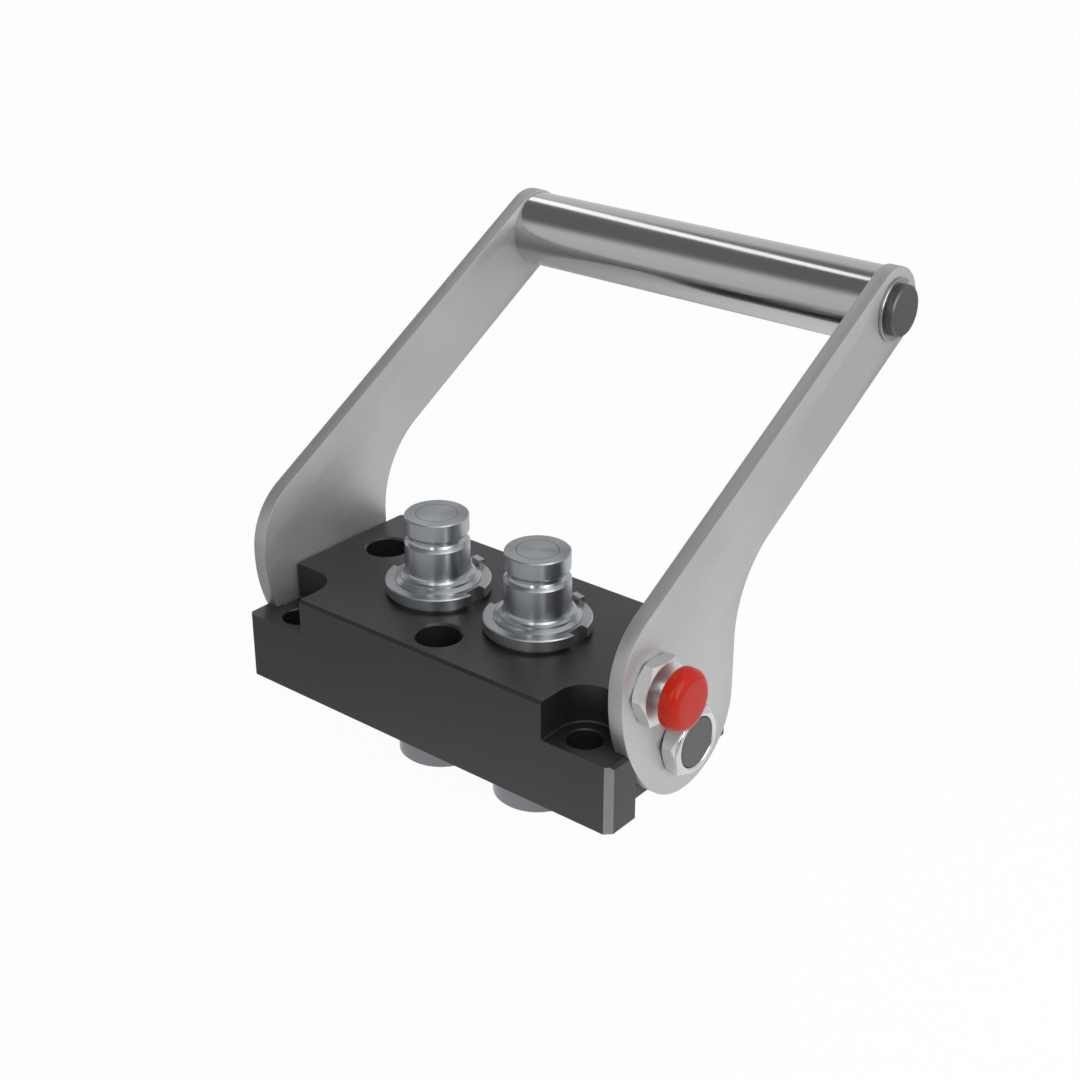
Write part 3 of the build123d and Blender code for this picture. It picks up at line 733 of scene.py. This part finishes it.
bpy.ops.mesh.primitive_plane_add(size=FLOOR_SIZE, location=(0.0, 0.0, FLOOR_Z))
floor = bpy.context.object
floor.name = "floor"
paint, tree, shader, place = new_finish("floor_painted_light_pool")
# The floor's base colour and its glow in reflections carry a painted pool of light that fades with
# distance from its centre
reach = combine(tree, "LENGTH", "Value", measured_from(tree, place, LIGHT_POOL_CENTRE))
light_pool_ramp = tree.nodes.new("ShaderNodeValToRGB")
light_pool_ramp.color_ramp.interpolation = "EASE"
stops = light_pool_ramp.color_ramp.elements
for number, (distance, shade) in enumerate(LIGHT_POOL_FADE):
    stop = stops[number] if number < 2 else stops.new(distance)
    stop.position = distance
    stop.color = (shade, shade, shade, 1.0)
tree.links.new(reach, light_pool_ramp.inputs["Fac"])
painted_light_fade = light_pool_ramp.outputs["Color"]
tree.links.new(tint(tree, painted_light_fade, FLOOR_PAINTED_LIGHT, FLOOR_PAINTED_DIM), shader.inputs["Base Color"])
shader.inputs["Roughness"].default_value = 0.9
shader.inputs["Specular IOR Level"].default_value = 0.1
glow = tree.nodes.new("ShaderNodeEmission")
glow.inputs["Strength"].default_value = 1.0
seen = tree.nodes.new("ShaderNodeLightPath")
painted_pool_in_mirrors = tint(tree, painted_light_fade, GLOW_PAINTED_LIGHT, GLOW_PAINTED_DIM)
glow_shade = tint(tree, seen.outputs["Is Camera Ray"], painted_pool_in_mirrors, WHITE)
tree.links.new(glow_shade, glow.inputs["Color"])
mirrored = compute(
    tree, "MAXIMUM", seen.outputs["Is Glossy Ray"], seen.outputs["Is Transmission Ray"]
)
either = compute(tree, "MAXIMUM", seen.outputs["Is Camera Ray"], mirrored)
share = compute(tree, "MULTIPLY", either, GLOW_SHARE)
layer = tree.nodes.new("ShaderNodeMixShader")
tree.links.new(share, layer.inputs["Fac"])
tree.links.new(shader.outputs["BSDF"], layer.inputs[1])
tree.links.new(glow.outputs["Emission"], layer.inputs[2])
tree.links.new(layer.outputs["Shader"], tree.nodes["Material Output"].inputs["Surface"])
floor.data.materials.append(paint)

WALLS = (0.78, 0.78, 0.785, 1.0)
CEILING = (0.19, 0.19, 0.193, 1.0)
CEILING_SIDE = Vector((-0.57, -0.20, 0.80)).normalized()
CAMERA_SIDE = Vector((0.57, -0.70, 0.30)).normalized()
world = bpy.data.worlds.new("studio")
bpy.context.scene.world = world
world.use_nodes = True
sky = world.node_tree
backdrop = sky.nodes["Background"]
look = sky.nodes.new("ShaderNodeTexCoord")
# The studio is darkest overhead to the left, between its pale walls
overhead = combine(sky, "DOT_PRODUCT", "Value", look.outputs["Generated"], CEILING_SIDE)
fade = sky.nodes.new("ShaderNodeValToRGB")
fade.color_ramp.interpolation = "EASE"
for stop, position, shade in zip(fade.color_ramp.elements, (0.70, 0.90), (WALLS, CEILING)):
    stop.position = position
    stop.color = shade
sky.links.new(overhead, fade.inputs["Fac"])
# It is dark behind the camera too, which leaves a darker line down the middle of round parts
behind_camera = combine(sky, "DOT_PRODUCT", "Value", look.outputs["Generated"], CAMERA_SIDE)
dusk = spread(sky, behind_camera, 1.0, 0.25, 0.80, 0.93)
shaded = sky.nodes.new("ShaderNodeVectorMath")
shaded.operation = "SCALE"
sky.links.new(fade.outputs["Color"], shaded.inputs[0])
sky.links.new(dusk, shaded.inputs["Scale"])
# Seen by the camera itself, the backdrop is as white as the floor
sight = sky.nodes.new("ShaderNodeLightPath")
plain = tint(sky, sight.outputs["Is Camera Ray"], shaded.outputs["Vector"], WHITE)
sky.links.new(plain, backdrop.inputs["Color"])
backdrop.inputs["Strength"].default_value = 1.0

# Name, place, point it faces, direction of its length, length, width and watts
BLOCK_MIDDLE = (0.0, 0.0, 0.05)
NOSES = (0.0, 0.0, 0.06)
TUBE_MIDDLE = (0.0, 0.13, 0.144)
lamps = (
    ("key_lamp", (0.95, -0.25, 0.85), BLOCK_MIDDLE, (0.0, 1.0, 0.0), 1.1, 1.0, 6.0),
    ("right_lamp", (1.05, -0.32, 0.50), NOSES, (0.0, 0.0, 1.0), 0.6, 0.12, 1.4),
    ("front_lamp", (0.30, -0.86, 0.60), NOSES, (0.0, 0.0, 1.0), 0.6, 0.10, 1.2),
    ("strip_lamp", (-0.674, 0.338, 1.140), TUBE_MIDDLE, (0.70, -0.72, 0.0), 0.83, 0.15, 0.72),
)
for name, spot, aim, along, length, width, power in lamps:
    data = bpy.data.lights.new(name, "AREA")
    data.shape = "RECTANGLE"
    data.size = length
    data.size_y = width
    data.energy = power
    lamp = bpy.data.objects.new(name, data)
    bpy.context.scene.collection.objects.link(lamp)
    lamp.location = spot
    back = (Vector(spot) - Vector(aim)).normalized()
    across = Vector(along).cross(back).normalized() * -1.0
    lamp.rotation_mode = "QUATERNION"
    turn = Matrix((across.cross(back), across, back)).transposed()
    lamp.rotation_quaternion = turn.to_quaternion()

# Camera
# It stands in front, to the right and above, at the photograph's angle and framing.
FOCAL_PX = 1795.5
FRAME_PX = 1080.0
SENSOR = 36.0
STANDS_AT = (0.39181, -0.44855, 0.35736)
RIGHT = Vector((0.7740, 0.63319, 0.00078))
DOWN = Vector((0.27575, -0.33596, -0.90061))
AHEAD = Vector((-0.56999, 0.69728, -0.43464))
camera_data = bpy.data.cameras.new("camera")
camera_data.sensor_width = SENSOR
camera_data.lens = SENSOR * FOCAL_PX / FRAME_PX
camera_data.clip_start = 0.01
camera_data.clip_end = 50.0
camera = bpy.data.objects.new("camera", camera_data)
bpy.context.scene.collection.objects.link(camera)
turn = Matrix((RIGHT, -DOWN, -AHEAD)).transposed()
camera.matrix_world = Matrix.Translation(STANDS_AT) @ turn.to_4x4()
bpy.context.scene.camera = camera
bpy.context.scene.view_settings.view_transform = "Standard"
